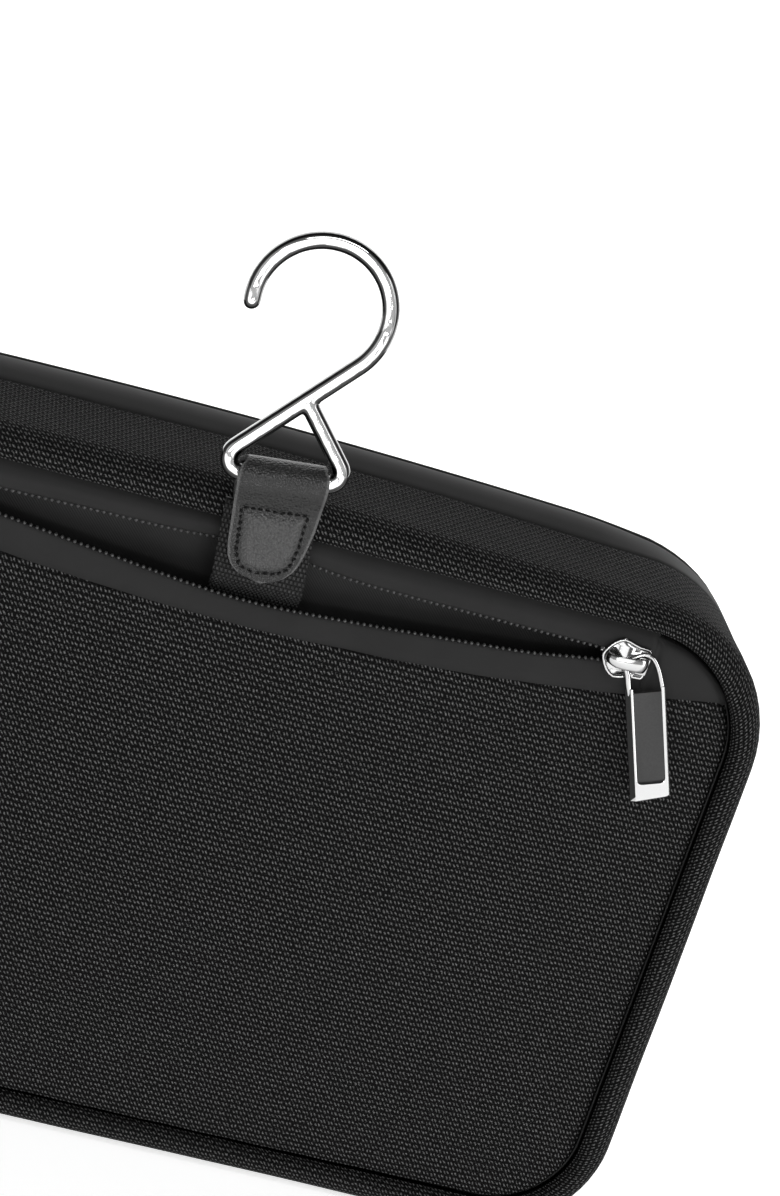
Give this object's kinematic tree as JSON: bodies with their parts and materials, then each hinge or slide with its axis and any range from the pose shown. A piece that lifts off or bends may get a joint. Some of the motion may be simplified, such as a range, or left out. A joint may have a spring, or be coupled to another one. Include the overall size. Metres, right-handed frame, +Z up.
{
  "type": "hanging toiletry bag",
  "caption": "Soft zipped toiletry bag with rounded corners, an open front zip pocket, a drop-down back half, and a metal swivel hook on a leather and webbing strap.",
  "frame": {"origin": "middle of the object's underside", "axes": "+X to the right seen from the front, +Y to the back, +Z up. The front with the pocket faces -Y."},
  "size_m": [0.3152, 0.1078, 0.2734],
  "materials": {
    "black_weave": "coarse black nylon weave, matt with small glints on the yarns",
    "coated_tape": "smooth coated zip tape, satin",
    "coil": "black nylon coil",
    "lining": "thin smooth lining, satin",
    "webbing": "ribbed black webbing",
    "leather": "black grained leather, semi-gloss",
    "thread": "black sewing thread",
    "chrome": "polished",
    "inlay": "dark grey satin"
  },
  "bodies": {
    "front_shell": {"front_gusset": "black_weave", "front_panel": "black_weave", "pocket_tape_upper": "coated_tape", "pocket_tape_lower": "coated_tape", "pocket_teeth_upper": "coil", "pocket_teeth_lower": "coil", "pocket_end_cover_left": "coated_tape", "pocket_end_cover_right": "coated_tape", "pocket_lining": "lining", "front_lining": "lining", "main_tape_front": "coated_tape", "main_teeth_front": "coil", "hinge_strip_front": "coated_tape", "strap_anchor": "webbing"},
    "lid": {"lid_gusset": "black_weave", "lid_panel": "black_weave", "lid_lining": "lining", "main_tape_lid": "coated_tape", "main_teeth_lid": "coil", "hinge_strip_lid": "coated_tape"},
    "pocket_slider": {"pocket_slider": "chrome", "pocket_slider_crown": "chrome"},
    "pocket_puller": {"pocket_puller_frame": "chrome", "pocket_puller_inlay": "inlay"},
    "main_slider_left": {"main_slider_left": "chrome", "main_slider_crown_left": "chrome"},
    "main_puller_left": {"main_puller_frame_left": "chrome", "main_puller_inlay_left": "inlay"},
    "main_slider_right": {"main_slider_right": "chrome", "main_slider_crown_right": "chrome"},
    "main_puller_right": {"main_puller_frame_right": "chrome", "main_puller_inlay_right": "inlay"},
    "strap": {"strap_webbing": "webbing", "leather_tab": "leather", "tab_stitching": "thread"},
    "hook": {"hook": "chrome"}
  },
  "joints": [
    {"name": "lid_hinge", "type": "hinge", "parent": "front_shell", "child": "lid", "pos_m": [0, 0.0119, 0], "axis": [-1, 0, 0], "range_deg": [0, 180]},
    {"name": "pocket_slide", "type": "slide", "parent": "front_shell", "child": "pocket_slider", "axis": [-1, 0, 0], "range_m": [0, 0.076]},
    {"name": "pocket_pull", "type": "hinge", "parent": "pocket_slider", "child": "pocket_puller", "pos_m": [0.1048, -0.04852, 0.1823], "axis": [-0.1348, -0.061, -0.989], "range_deg": [0, 110]},
    {"name": "main_slide_left", "type": "slide", "parent": "front_shell", "child": "main_slider_left", "axis": [0, 0, 1], "range_m": [0, 0.09]},
    {"name": "main_pull_left", "type": "hinge", "parent": "main_slider_left", "child": "main_puller_left", "pos_m": [-0.15488, 0.0119, 0.042], "axis": [0, 1, 0], "range_deg": [0, 120]},
    {"name": "main_slide_right", "type": "slide", "parent": "front_shell", "child": "main_slider_right", "axis": [0, 0, 1], "range_m": [0, 0.09]},
    {"name": "main_pull_right", "type": "hinge", "parent": "main_slider_right", "child": "main_puller_right", "pos_m": [0.15488, 0.0119, 0.042], "axis": [0, -1, 0], "range_deg": [0, 120]},
    {"name": "strap_fold", "type": "hinge", "parent": "front_shell", "child": "strap", "pos_m": [0, -0.049, 0.1774], "axis": [1, 0, 0], "range_deg": [0, 90]},
    {"name": "hook_fold", "type": "hinge", "parent": "strap", "child": "hook", "pos_m": [0, -0.049, 0.2075], "axis": [0.9936, 0, 0.1132], "range_deg": [-80, 100]}
  ]
}
